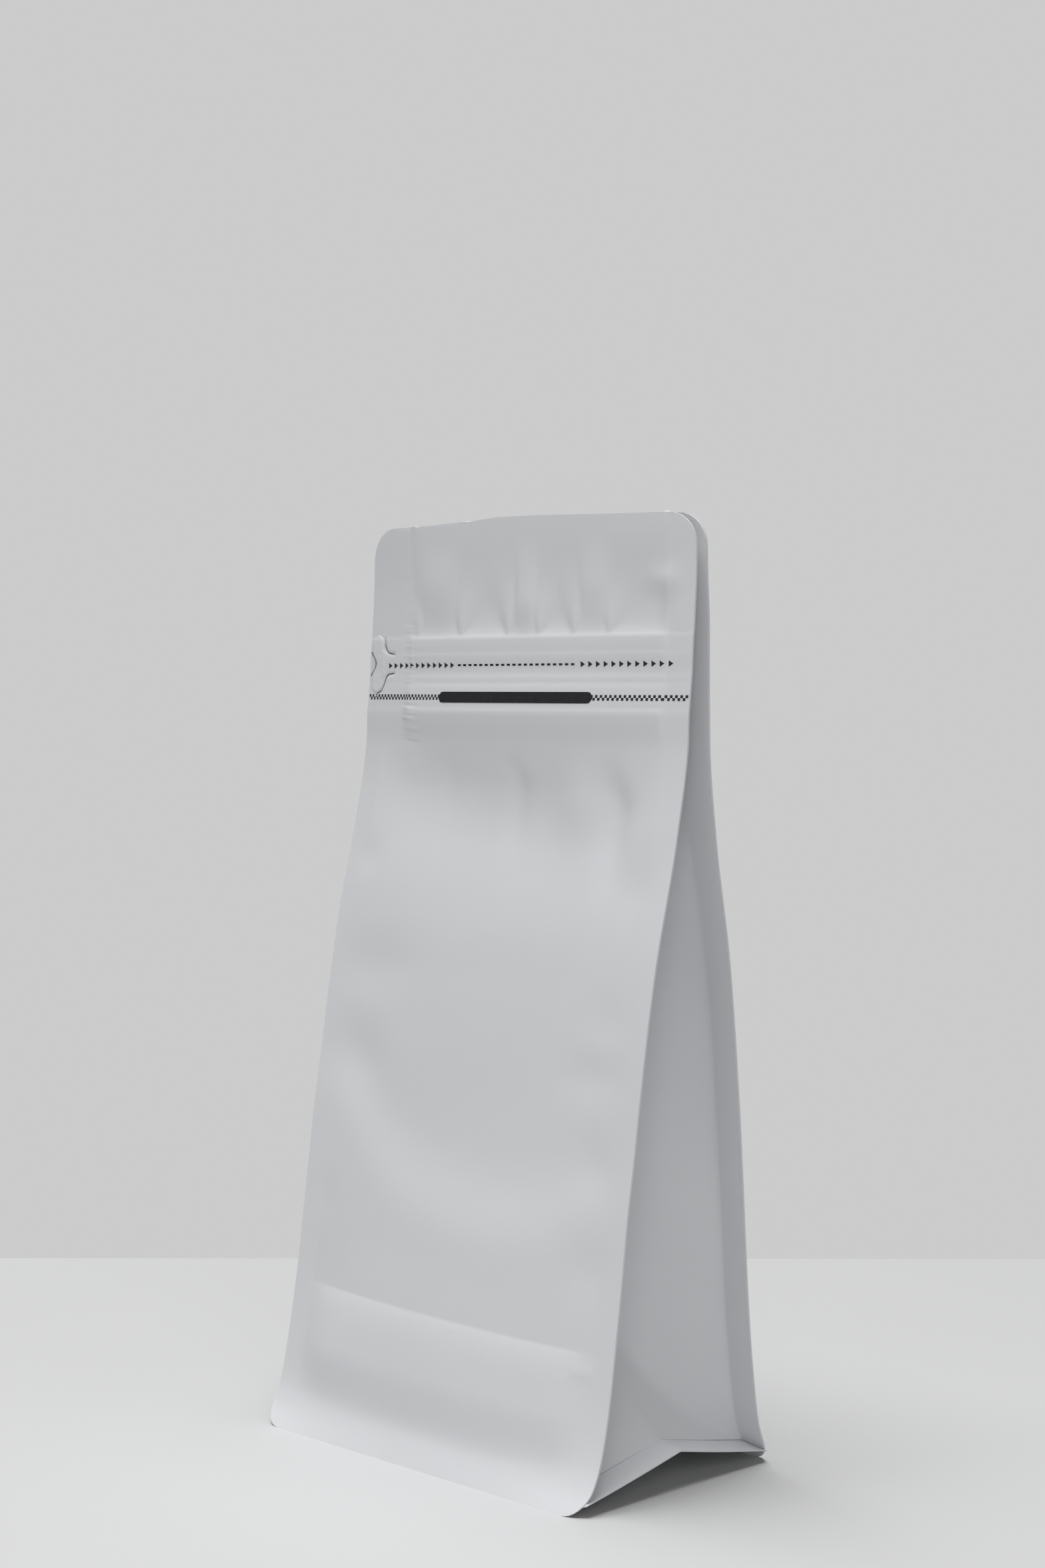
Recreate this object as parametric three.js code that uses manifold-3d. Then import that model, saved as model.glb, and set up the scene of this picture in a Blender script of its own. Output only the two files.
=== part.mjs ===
import * as THREE from 'three';
import { mergeVertices } from 'three/addons/utils/BufferGeometryUtils.js';
import Module from 'manifold-3d';

const { clamp, degToRad, lerp, smoothstep } = THREE.MathUtils;

// A flat-bottomed coffee bag of heavy matte film, standing empty and shut.
// Millimetres. X runs along the front to the right, Y to the back, Z up, with the
// origin on the ground under the middle of the bag.

// Main sizes of the bag
const WIDTH = 130;
const HEIGHT = 263.6;
const BASE_DEPTH = 78;
const LEAN_DEGREES = 2;

// Sealed margins that stand out past the folded sides
const FIN = 8;
const FIN_THICKNESS = 1;
const FIN_ROOT_FILLET = 0.3;
const TOP_CORNER_RADIUS = 9.5;
const BOTTOM_CORNER_RADIUS = 7;
const CORNER_SPLIT = degToRad(30);

// Raised floor of the bag and the sealed edges at its two sides
const RECESS_HEIGHT = 9;
const SIDE_PEAK = 10.6;
const SIDE_FLANGE_RISE = 1.4;
const RECESS_SIDE_START = 40;
const RECESS_SIDE_END = 60;

// Folded sides: length of each leg of the fold, the top of the base triangle, and the
// power that hollows the triangle
const FOLD_LEG = 36.5;
const TRIANGLE_TOP = 41;
const TRIANGLE_HOLLOW = 0.8;

// Soft forms of the front and back panels
const TOP_BOW = 3.5;
const BOW_START = 120;
const BOW_FULL = 200;
const TOP_CREST = 1.3;
const CREST_START = -32;
const CREST_FULL = -8;
const CREST_END = 58;
const BASE_CREASE = 40.5;
const BASE_ROLL = 0.8;
const BASE_ROLL_FOOT = 14;
const BASE_ROLL_END = 48;

// Pressed lines of the closure across the front: height above ground, relief, half width
const CLOSURE_TOP = 231;
const CLOSURE_LINES = [
  { at: 204.4, relief: 0.35, half: 1.2 },
  { at: 209.2, relief: 0.7, half: 1.4 },
  { at: 218, relief: 0.6, half: 1.9 },
  { at: 226.8, relief: 0.4, half: 1 },
  { at: CLOSURE_TOP, relief: 1, half: 1.4 },
];
const CLOSURE_LEFT = -48;
const CLOSURE_RIGHT = 57;
const CLOSURE_FADE = 3;

// Puckers that rise from the top line of the closure, by their place across the front
const PUCKERS = [-44, -25, -5, 7.2, 21.2, 34.3];
const PUCKER_DEPTH = 0.9;
const PUCKER_WIDTH = 2;
const PUCKER_SPREAD = 0.35;
const PUCKER_REACH = 11;

// Die-cut pull tab at the left end of the tear strip
const TAB_HEIGHT = 222.6;
const TAB_LOBE_RADIUS = 3;
const TAB_LOBE_OFFSET = 6.3;
const TAB_LEFT = -64.6;
const TAB_WAIST = 2.2;
const TAB_STEM_END = -51.5;
const TAB_STEM_HALF = 3.2;
const TAB_PROUD = 0.5;
const TAB_DEPTH = 1;

// Half depth of the bag from its middle plane, at the side edges and at the centre line,
// each as [height, half depth]
const HALF_BASE = BASE_DEPTH / 2;
const sideDepth = profile([
  [0, HALF_BASE], [6, 34.8], [12, 32.3], [24, 29.9], [BASE_CREASE, 27.4], [100, 20.9],
  [140, 15.4], [175, 8.2], [201, 4.6], [HEIGHT, 2.2],
]);
const frontDepth = profile([
  [0, HALF_BASE], [6, 35.4], [12, 33.2], [24, 31.4], [BASE_CREASE, 29.8], [60, 27.3],
  [80, 23.2], [100, 20], [140, 15.6], [150, 13.8], [180, 5], [188, 3.6], [201, 3.2],
  [CLOSURE_TOP, 1.6], [HEIGHT, 1.1],
]);
const backDepth = profile([
  [0, HALF_BASE], [6, 35.4], [12, 33.2], [24, 31.4], [BASE_CREASE, 29.8], [100, 24.4],
  [140, 18.6], [175, 9.4], [201, 3.2], [CLOSURE_TOP, 1.6], [HEIGHT, 1.1],
]);

// Steps of the mesh across the front, up each leg of the folded side, and up the bag
const LEG_STEPS = 5;
const FLANGE_ROW = 4;
const FOOT_ROW = 16;
const HEAD_ROW = HEIGHT - 15;
const HALF_WIDTH = WIDTH / 2;
const ROOT = HALF_WIDTH - FIN;
const COLUMNS = columnPlaces();
const ROWS = rowHeights();
const DEPTH_STEPS = 2 * LEG_STEPS + 4;

// A smooth curve through [height, value] pairs that doesn't overshoot between them
function profile(points) {
  const rise = (a, b) => (b[1] - a[1]) / (b[0] - a[0]);
  const last = points.length - 1;
  const slopes = points.map((point, i) => {
    const before = rise(points[Math.max(i - 1, 0)], points[Math.max(i, 1)]);
    const after = rise(points[Math.min(i, last - 1)], points[Math.min(i + 1, last)]);
    return before * after > 0 ? (2 * before * after) / (before + after) : 0;
  });
  return (height) => {
    const above = points.findIndex((point) => point[0] >= height);
    const next = above < 0 ? last : Math.max(above, 1);
    const [z0, v0] = points[next - 1];
    const [z1, v1] = points[next];
    const span = z1 - z0;
    const t = clamp((height - z0) / span, 0, 1);
    const toEnd = t * t * (3 - 2 * t);
    const bend = t * (1 - t) * span;
    return v0 + (v1 - v0) * toEnd + bend * ((1 - t) * slopes[next - 1] - t * slopes[next]);
  };
}

// Columns stand on the margins, on the puckers and halfway between those
function columnPlaces() {
  const halfway = PUCKERS.slice(1).map((place, i) => (place + PUCKERS[i]) / 2);
  const margin = [ROOT, ROOT + FIN / 3, ROOT + (2 * FIN) / 3, HALF_WIDTH];
  const inner = [CLOSURE_LEFT, ...PUCKERS, ...halfway, (PUCKERS.at(-1) + ROOT) / 2];
  const places = [...margin, ...margin.map((place) => -place), ...inner];
  return places.sort((a, b) => a - b);
}

// Rows are close together where the bag has corners, creases or pressed lines
function rowHeights() {
  const foot = [0, 1.5, FLANGE_ROW, 7, 11, FOOT_ROW, 22, 30, 37, BASE_CREASE, 44];
  const body = [54, 66, 79, 92, 105, 118, 131, 144, 156, 167, 178, 188, 196];
  const lines = CLOSURE_LINES.flatMap(({ at, half }) => [at - half, at, at + half]);
  const head = [213, 222.6, 236, 242, HEAD_ROW, 254, 258.5, 261.5, HEIGHT];
  return [...foot, ...body, ...lines, ...head].sort((a, b) => a - b);
}

// Height of the panels' lower and upper edges, with the rounded corners
function lowerEdge(x) {
  const past = Math.max(Math.abs(x) - (HALF_WIDTH - BOTTOM_CORNER_RADIUS), 0);
  return BOTTOM_CORNER_RADIUS - Math.sqrt(BOTTOM_CORNER_RADIUS ** 2 - past ** 2);
}

function upperEdge(x) {
  const past = Math.max(Math.abs(x) - (HALF_WIDTH - TOP_CORNER_RADIUS), 0);
  const drop = TOP_CORNER_RADIUS - Math.sqrt(TOP_CORNER_RADIUS ** 2 - past ** 2);
  const crest = smoothstep(x, CREST_START, CREST_FULL) - smoothstep(x, CREST_FULL, CREST_END);
  return HEIGHT - drop + TOP_CREST * crest;
}

// Half width of the panels at a height, with the rounded corners
function outline(z) {
  const below = Math.max(BOTTOM_CORNER_RADIUS - z, 0);
  const above = Math.max(z - (HEIGHT - TOP_CORNER_RADIUS), 0);
  const radius = below > 0 ? BOTTOM_CORNER_RADIUS : TOP_CORNER_RADIUS;
  return HALF_WIDTH - radius + Math.sqrt(Math.max(radius ** 2 - Math.max(below, above) ** 2, 0));
}

// Height of a row of the mesh where the bag starts and ends at the given heights
function rowHeight(row, bottom, top) {
  if (row < FOOT_ROW) {
    return lerp(bottom, FOOT_ROW, row / FOOT_ROW);
  }
  if (row > HEAD_ROW) {
    return lerp(HEAD_ROW, top, (row - HEAD_ROW) / (HEIGHT - HEAD_ROW));
  }
  return row;
}

// The middle plane leans back a little and bows forwards across the top
function middlePlane(x, z) {
  const lean = z * Math.tan(degToRad(LEAN_DEGREES));
  return lean - TOP_BOW * smoothstep(z, BOW_START, BOW_FULL) * (1 - (x / HALF_WIDTH) ** 2);
}

// Between the margins the panels are crowned, and they roll outwards below the base crease
function panelDepth(x, z, middleDepth) {
  const crown = Math.max(1 - (x / ROOT) ** 2, 0);
  const inside = 1 - smoothstep(Math.abs(x), BASE_ROLL_END, ROOT);
  const roll = z < BASE_CREASE ? BASE_ROLL * smoothstep(z, BASE_ROLL_FOOT, BASE_CREASE) : 0;
  return lerp(sideDepth(z), middleDepth(z), crown) + roll * inside;
}

// Pressed lines and puckers of the closure, which only the front panel has
function frontRelief(x, z) {
  const within = smoothstep(x, CLOSURE_LEFT - CLOSURE_FADE, CLOSURE_LEFT + CLOSURE_FADE)
    * (1 - smoothstep(x, CLOSURE_RIGHT - CLOSURE_FADE, CLOSURE_RIGHT));
  const lines = CLOSURE_LINES.map(({ at, relief, half }) => (
    relief * Math.max(1 - Math.abs(z - at) / half, 0)
  ));
  const over = z - CLOSURE_TOP;
  const puckers = PUCKERS.map((place) => {
    const width = PUCKER_WIDTH + PUCKER_SPREAD * over;
    const across = Math.exp(-(((x - place) / width) ** 2));
    return over > 0 ? PUCKER_DEPTH * across * Math.exp(-over / PUCKER_REACH) : 0;
  });
  return within * (sum(lines) - sum(puckers));
}

function sum(values) {
  return values.reduce((total, value) => total + value, 0);
}

function frontFace(x, z) {
  return middlePlane(x, z) - panelDepth(x, z, frontDepth) - frontRelief(x, z);
}

function backFace(x, z) {
  return middlePlane(x, z) + panelDepth(x, z, backDepth);
}

// How far the folded side lies in from the margins: u is 0 at the fold and 1 at a margin.
// Near the ground a triangle closes the fold off.
function foldDepth(u, z, foot) {
  const legDepth = (height) => {
    const gap = sideDepth(height) - FIN_THICKNESS - FIN_ROOT_FILLET;
    return Math.sqrt(FOLD_LEG ** 2 - gap ** 2);
  };
  const leg = legDepth(z) * (1 - Math.abs(u));
  if (z >= TRIANGLE_TOP) {
    return leg;
  }
  const rise = Math.max((z - foot) / (TRIANGLE_TOP - foot), 0);
  return Math.min(leg, legDepth(TRIANGLE_TOP) * rise ** TRIANGLE_HOLLOW);
}

// Lower edge of the folded side: highest at its middle, lowest at the two corners
function sideEdge(u) {
  const corner = BOTTOM_CORNER_RADIUS * (1 - Math.sin(CORNER_SPLIT));
  return lerp(SIDE_PEAK, corner, Math.abs(u));
}

// A place between the two panels: u is -1 on the front one and 1 on the back one
function betweenPanels(u, x, z, halfGap) {
  return middlePlane(x, z) + u * (halfGap - FIN_THICKNESS - FIN_ROOT_FILLET);
}

// A point on the folded right-hand side, with the flange along its lower edge
function foldPoint(u, row) {
  const edge = sideEdge(u);
  const foot = edge + SIDE_FLANGE_RISE;
  if (row < FLANGE_ROW) {
    const inwards = row / FLANGE_ROW;
    const x = lerp(outline(edge), ROOT, inwards);
    const z = lerp(edge, foot, inwards);
    return [x, betweenPanels(u, x, z, sideDepth(z)), z];
  }
  const low = lerp(foot, FOOT_ROW, (row - FLANGE_ROW) / (FOOT_ROW - FLANGE_ROW));
  const level = row < FOOT_ROW ? low : Math.min(row, HEAD_ROW);
  const x = ROOT - foldDepth(u, level, foot);
  const z = row < FOOT_ROW ? low : rowHeight(row, 0, upperEdge(x));
  return [x, betweenPanels(u, x, z, sideDepth(z)), z];
}

// A point on the edge of a panel, where the corners are rounded
function tipPoint(face, inset, row) {
  const bottom = BOTTOM_CORNER_RADIUS * (1 - Math.sin(CORNER_SPLIT));
  const top = HEIGHT - TOP_CORNER_RADIUS * (1 - Math.sin(CORNER_SPLIT));
  const z = rowHeight(row, bottom, top);
  const x = outline(z);
  return [x, face(x, z) + inset, z];
}

function sidePoint(step, row) {
  if (step < 2) {
    return tipPoint(frontFace, step * FIN_THICKNESS, row);
  }
  if (step > DEPTH_STEPS - 2) {
    return tipPoint(backFace, (step - DEPTH_STEPS) * FIN_THICKNESS, row);
  }
  return foldPoint((step - 2) / LEG_STEPS - 1, row);
}

function panelPoint(face, x, row) {
  const z = rowHeight(row, lowerEdge(x), upperEdge(x));
  return [x, face(x, z), z];
}

// The raised floor hangs inside a skirt that the panels' sealed lower edges make
function undersidePoint(x, step) {
  if (step === 1) {
    return [x, frontFace(x, lowerEdge(x)) + FIN_THICKNESS, lowerEdge(x)];
  }
  if (step === DEPTH_STEPS - 1) {
    return [x, backFace(x, lowerEdge(x)) - FIN_THICKNESS, lowerEdge(x)];
  }
  const u = (step - 2) / LEG_STEPS - 1;
  const inside = lerp(SIDE_PEAK, RECESS_HEIGHT, Math.abs(u));
  const outwards = smoothstep(Math.abs(x), RECESS_SIDE_START, RECESS_SIDE_END);
  const z = lerp(inside, sideEdge(u), outwards);
  return [x, betweenPanels(u, x, z, panelDepth(x, z, backDepth)), z];
}

function topPoint(x, step) {
  const edge = sidePoint(step, HEIGHT);
  const tip = sidePoint(0, HEIGHT);
  const across = (x / tip[0]) * edge[0];
  const share = (edge[1] - frontFace(edge[0], edge[2]))
    / (backFace(edge[0], edge[2]) - frontFace(edge[0], edge[2]));
  const z = upperEdge(across);
  return [across, lerp(frontFace(across, z), backFace(across, z), share), z];
}

// The place on the bag of one corner of the mesh, by its column, depth step and row
function placeOnBag(column, step, row) {
  const x = COLUMNS[column];
  if (column === 0 || column === COLUMNS.length - 1) {
    const [across, y, z] = sidePoint(step, row);
    const side = Math.sign(x);
    return [side * across, y, z];
  }
  if (step === 0) {
    return panelPoint(frontFace, x, row);
  }
  if (step === DEPTH_STEPS) {
    return panelPoint(backFace, x, row);
  }
  return row === 0 ? undersidePoint(x, step) : topPoint(x, step);
}

function withoutShading(geometry) {
  geometry.deleteAttribute('normal');
  geometry.deleteAttribute('uv');
  return mergeVertices(geometry);
}

// The body is a box cut into cells, whose corners all move to their places on the bag
function bodyGeometry() {
  const columns = COLUMNS.length - 1;
  const rows = ROWS.length - 1;
  const box = new THREE.BoxGeometry(columns, DEPTH_STEPS, rows, columns, DEPTH_STEPS, rows);
  box.translate(columns / 2, DEPTH_STEPS / 2, rows / 2);
  const geometry = withoutShading(box);
  const position = geometry.attributes.position;
  for (let i = 0; i < position.count; i += 1) {
    const column = Math.round(position.getX(i));
    const step = Math.round(position.getY(i));
    const row = ROWS[Math.round(position.getZ(i))];
    position.setXYZ(i, ...placeOnBag(column, step, row));
  }
  return geometry;
}

// Outline of the pull tab: two round lobes at the bag's edge and a stem to the right
function tabShape() {
  const lobe = TAB_LEFT + TAB_LOBE_RADIUS;
  const right = lobe + TAB_LOBE_RADIUS;
  const shape = new THREE.Shape();
  shape.moveTo(TAB_STEM_END, -TAB_STEM_HALF);
  shape.lineTo(TAB_STEM_END, TAB_STEM_HALF);
  shape.lineTo(right + TAB_WAIST, TAB_STEM_HALF);
  shape.quadraticCurveTo(right, TAB_STEM_HALF, right, TAB_LOBE_OFFSET);
  shape.absarc(lobe, TAB_LOBE_OFFSET, TAB_LOBE_RADIUS, 0, Math.PI, false);
  shape.quadraticCurveTo(TAB_LEFT, TAB_WAIST, TAB_LEFT + TAB_WAIST, 0);
  shape.quadraticCurveTo(TAB_LEFT, -TAB_WAIST, TAB_LEFT, -TAB_LOBE_OFFSET);
  shape.absarc(lobe, -TAB_LOBE_OFFSET, TAB_LOBE_RADIUS, Math.PI, 2 * Math.PI, false);
  shape.quadraticCurveTo(right, -TAB_STEM_HALF, right + TAB_WAIST, -TAB_STEM_HALF);
  return shape;
}

// The tab is a thin plate that stands a little proud of the front panel
function tabGeometry() {
  const middle = (TAB_LEFT + TAB_STEM_END) / 2;
  const low = frontFace(middle, TAB_HEIGHT - TAB_LOBE_OFFSET);
  const high = frontFace(middle, TAB_HEIGHT + TAB_LOBE_OFFSET);
  const ends = [TAB_LEFT, TAB_STEM_END].map((x) => frontFace(x, TAB_HEIGHT));
  const plate = new THREE.ExtrudeGeometry(tabShape(), {
    depth: TAB_DEPTH,
    bevelEnabled: false,
    curveSegments: 6,
  });
  plate.translate(-middle, 0, TAB_PROUD - TAB_DEPTH);
  plate.rotateY(Math.atan2(ends[0] - ends[1], TAB_STEM_END - TAB_LEFT));
  plate.rotateX(Math.PI / 2 - Math.atan2(high - low, 2 * TAB_LOBE_OFFSET));
  plate.translate(middle, (low + high) / 2, TAB_HEIGHT);
  return withoutShading(plate);
}

// Joins closed geometries into one
function joined(wasm, geometries) {
  const solids = geometries.map((geometry) => new wasm.Manifold(new wasm.Mesh({
    numProp: 3,
    vertProperties: new Float32Array(geometry.attributes.position.array),
    triVerts: new Uint32Array(geometry.index.array),
  })));
  const whole = solids.reduce((a, b) => a.add(b)).getMesh();
  const geometry = new THREE.BufferGeometry();
  geometry.setAttribute('position', new THREE.BufferAttribute(whole.vertProperties, 3));
  geometry.setIndex(new THREE.BufferAttribute(whole.triVerts, 1));
  geometry.computeVertexNormals();
  return geometry;
}

function matteFilm() {
  return new THREE.MeshStandardMaterial({ color: 0xd3d6d9, roughness: 0.62, metalness: 0 });
}

const wasm = await Module();
wasm.setup();

const bag = new THREE.Mesh(joined(wasm, [bodyGeometry(), tabGeometry()]), matteFilm());
bag.name = 'bag';

const group = new THREE.Group();
group.add(bag);

export default group;
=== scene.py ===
"""Looks of a flat-bottomed coffee bag of matte white film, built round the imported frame.

Named sizes are in millimetres, in the frame's axes: X to the right along the front,
Y to the back and Z up. They become metres where a mesh is made.
"""

import math

import bmesh
import bpy
import numpy as np
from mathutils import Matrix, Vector


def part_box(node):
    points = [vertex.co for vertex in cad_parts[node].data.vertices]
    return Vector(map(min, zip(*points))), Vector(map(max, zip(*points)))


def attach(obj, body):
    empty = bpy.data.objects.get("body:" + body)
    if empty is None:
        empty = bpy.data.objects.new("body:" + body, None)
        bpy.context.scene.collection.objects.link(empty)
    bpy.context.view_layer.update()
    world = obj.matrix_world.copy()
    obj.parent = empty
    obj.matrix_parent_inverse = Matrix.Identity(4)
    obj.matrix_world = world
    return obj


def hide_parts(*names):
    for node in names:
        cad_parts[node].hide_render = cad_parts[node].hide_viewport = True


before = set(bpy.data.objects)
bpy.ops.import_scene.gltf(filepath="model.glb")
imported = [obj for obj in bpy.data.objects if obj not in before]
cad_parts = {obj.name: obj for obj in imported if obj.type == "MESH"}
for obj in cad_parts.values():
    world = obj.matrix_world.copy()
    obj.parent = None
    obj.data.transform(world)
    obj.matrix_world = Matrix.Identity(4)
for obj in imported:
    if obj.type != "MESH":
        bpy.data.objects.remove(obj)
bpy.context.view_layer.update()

MM = 0.001
HIGH = np.array(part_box("bag")[1]) / MM

# Main sizes of the bag, from the frame's box where it gives them
HALF_WIDTH = HIGH[0]
HALF_BASE = HIGH[1]
TOP_CREST = 1.3
HEIGHT = HIGH[2] - TOP_CREST
LEAN = math.radians(2)
FILM = 0.3
FIN = 8
LEAST_FIN = 0.3
ROOT = HALF_WIDTH - FIN
TOP_RADIUS = 9.5
BOTTOM_RADIUS = 7
CORNER_EDGE = BOTTOM_RADIUS / 2

# Raised floor, sealed side edges and folded sides
FLOOR_HEIGHT = 9
FLOOR_HALF = 0.999 * HALF_WIDTH
FLOOR_FALL = 17
SIDE_PEAK = 10.6
FLANGE_RISE = 1.4
FOLD_LEG = 36.5
TRIANGLE_TOP = 41
TRIANGLE_HOLLOW = 0.7
ROOT_ROUND = 0.1
RIDGE_BEND = 1.4
RIDGE_REACH = 6
FOOT = 16

# Heights between which the mouth presses the folded sides flat, and how sharply
PRESS_START, PRESS_FULL = 222, 240
PRESS_TURN = 0.18

# Slow waves of the folded sides' legs, as (height, length, turn), and where they are free
SIDE_WAVES = ((0.5, 17, 1), (0.35, 7.5, 2))
SIDE_FREE = (40, 60, 200, 230)

# Bow of the top, crest of its edge and the shut mouth
TOP_BOW = 3.5
TOP_NOD = 0.9
BOW_START, BOW_FULL = 120, 200
CREST_START, CREST_FULL, CREST_END = -32, -8, 58
CREST_FOOT = HEIGHT - 15
SHUT_START, SHUT_FULL = 232, 258
SHUT_CENTRE, SHUT_SIDE = 0.85, 2.2
SHUT_FLAT = 10

# Half depth of the bag at its side edges, and at the centre lines of its back and front,
# as (height, half depth)
SIDE_DEPTHS = (
    (0, HALF_BASE), (6, 34.8), (12, 32.3), (24, 29.9), (40.5, 27.4), (100, 20.9),
    (140, 15.4), (175, 8.2), (201, 4.6), (HEIGHT, 2.2),
)
BACK_DEPTHS = (
    (0, HALF_BASE), (6, 35.4), (12, 33.2), (24, 31.4), (40.5, 29.8), (100, 24.4),
    (140, 18.6), (175, 9.4), (201, 3.2), (231, 1.6), (HEIGHT, 1.1),
)
FRONT_DEPTHS = (
    (0, HALF_BASE), (5, 36.7), (9, 35.1), (13, 34.2), (24, 32.3), (40.5, 30.7), (60, 27.8),
    (80, 24.3), (100, 21), (115, 19.2), (126, 17.8), (136, 16.1), (146, 14.1), (156, 11.4),
    (166, 8.2), (176, 4.7), (182, 3.15), (188, 2.5), (194, 2.85), (200, 3.4), (206, 3.75),
    (231, 2.3), (HEIGHT, 1.7),
)

# Crease across the front above the base: its height at the two ends, and the roll below it
CREASE_LEFT, CREASE_RIGHT = (-60.2, 41.3), (57, 39.8)
CREASE_ROLL = 2.1
CREASE_REACH = 7.5
CREASE_FADE = (16, 33)
CREASE_ENDS = (45, 62)
CREASE_BAND = (38.5, 43)

# Short second crease at its right, as (start, end, height)
SECOND_CREASE = (51.2, 58, 34.8)
SECOND_DEPTH = 0.25
SECOND_HALF = 1.2
SECOND_FADE = 1

# Section of the pressed closure, as (height, relief), and where it starts and ends
CLOSURE_SECTION = (
    (200, 0), (201, 0.06), (207.6, 1.14), (208.7, 1.26), (209.2, 1.26), (210.6, 1.07),
    (211.7, 1.03), (215.2, 0.83), (216.3, 0.73), (217.7, 0.51), (218.3, 0.52), (218.9, 0.5),
    (220.4, 0.32), (220.9, 0.32), (224.5, 0.68), (225.7, 0.73), (226.2, 0.68), (227, 0.71),
    (228.5, 0.75), (230, 0.71), (230.6, 0.6), (231, 0.38),
)
CLOSURE_TOP = 231
CLOSURE_LEFT, CLOSURE_RIGHT = -46, 57.4
CLOSURE_FADE = 2
MARGIN_SHARE = 0.35

# Film above the closure: how far it drops back, over what height, and where that ends
LIP_DROP, LIP_REACH = 1.1, 2.3
LIP_START, LIP_END = 238, 259
LIP_SPAN = (CLOSURE_LEFT - 3, CLOSURE_LEFT + 6, 52, 59)

# Puckers that hold this film out: place across and reach upwards
PUCKERS = ((-42.8, 14), (-23.5, 20), (-3.6, 22), (8.9, 16), (22.5, 20), (35.7, 14))
PUCKER_TIP = 0.45
PUCKER_SPREAD = 0.55

# Swells between neighbouring puckers: place across, rise, half width and top
SWELLS = ((-35, 2.2, 10.5, 256), (2.6, 1.6, 5.4, 242), (29, 1.6, 7, 249))
SWELL_TAPER = 0.15
SWELL_EDGE = 3

# Line pressed through the left end of the front by the folded side behind it, as
# (height, place across), and where it sets in
BAND = ((187, -39.1), (232, -43.8), (262, -46.6))
BAND_START = (196, 206)
BAND_DEPTH = 0.09
BAND_HALF = 0.8

# Ripples to its left: where they set in and calm down, and a slow beat through them
RIPPLE_START, RIPPLE_CALM = (184, 194), (208, 214)
RIPPLE_DEPTH = 0.18
RIPPLE_LOSS = 0.7
RIPPLE_PITCH = 1.9
RIPPLE_SLANT = 0.25
RIPPLE_OFFSET, RIPPLE_HALF = 2.5, 3
BEAT_RATE, BEAT_SHIFT = 0.9, 0.5

# Tongues of film that hang from the closure: top (across, height), tip, depth, and
# half width at the top and at the tip
TONGUES = (
    ((-1.5, 200), (2.5, 188), 0.9, 3, 4.5), ((36.5, 199), (42, 183), 1.5, 4, 5.5),
    ((-28, 200), (-26, 191), 0.3, 4, 4),
)
TONGUE_TURN, TONGUE_END = 1.1, 3

# Broad soft fold across the front: its line and its rise, each across the front
SMILE = (
    (-60, 103), (-54, 101), (-44, 93), (-30, 83), (-14, 77), (18, 73), (34, 75), (46, 80), (60, 84),
)
SMILE_RISE = ((-60, 0.3), (-52, 0.6), (-40, 1), (-20, 1.2), (20, 1.2), (45, 1), (60, 0.4))
SMILE_HALF = 14

# Soft dents of the front film: place across, height, depth inwards, half width,
# half height, turn anticlockwise in degrees
DENTS = (
    (-28, 190, 0.5, 22, 9, 0), (-48, 163, -1, 25, 18, 0), (20, 170, 0.5, 26, 14, 0),
    (26.5, 184, -1.2, 8, 9, 0), (-55, 166, 0.35, 5, 5, 0), (-46, 134, 0.55, 14, 8.5, 0),
    (-49, 108.5, 0.8, 12, 10, -12), (-50, 67, -0.4, 14, 14, 0), (50, 22, 0.9, 22, 15, 0),
    (-54, 66, 0.3, 7, 7, 0), (53, 161, 0.4, 6, 6, 0), (50, 126, 0.35, 7, 6, 0),
    (47, 111, 0.55, 11, 6.5, 0), (52, 87, 0.4, 7, 7, 0), (53, 61, 0.4, 7, 7, 0),
    (52, 175, -0.3, 9, 7, 20), (54, 245.3, -0.9, 5, 3.5, 0),
)

# Die-cut pull tab: two round lobes, a notch between them at the bag's edge, and the two
# cuts that part it from the strip
STRIP_HEIGHT = 222.6
TAB_MIDDLE = 223.2
TAB_LEFT = -64.3
TAB_LOBE_RADIUS = 3
TAB_LOBE_OFFSET = 5.5
TAB_NOTCH, TAB_NOTCH_HALF = 2.2, 3.6
TAB_STEM_END = -56.3
TAB_STEM_EDGE = (2.4, 4.4)
TAB_PROUD = 0.24
TAB_BEVEL = 1.1
TAB_SINK = 2.5
CUTS = (
    ((-58.3, 230.6), (-57.9, 228.6), (-56.9, 227), (-55.6, 226.3), (-53.2, 226.1)),
    ((-53.2, 220.3), (-55.6, 220.1), (-56.9, 219.2), (-57.7, 217.3), (-58.9, 215.2), (-61.2, 214.3)),
)
NOTCH_EDGE = ((-64.5, 226.8), (-63.4, 225.6), (-62.4, 224.5), (-62.1, 223.2), (-62.4, 221.9),
              (-63.4, 220.8), (-64.5, 219.6))

# The dip of the film along the cuts, and the lines of painted shade in them and along the notch's
# edge, which taper to their ends
CUT_DEPTH = 0.4
CUT_HALF = 0.4
GAP_SHADE_HALF, NOTCH_SHADE_HALF = 0.2, 0.22
TAPER_TIP, TAPER_REACH = 0.25, 2
RIBBON_STEP = 0.25

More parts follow.
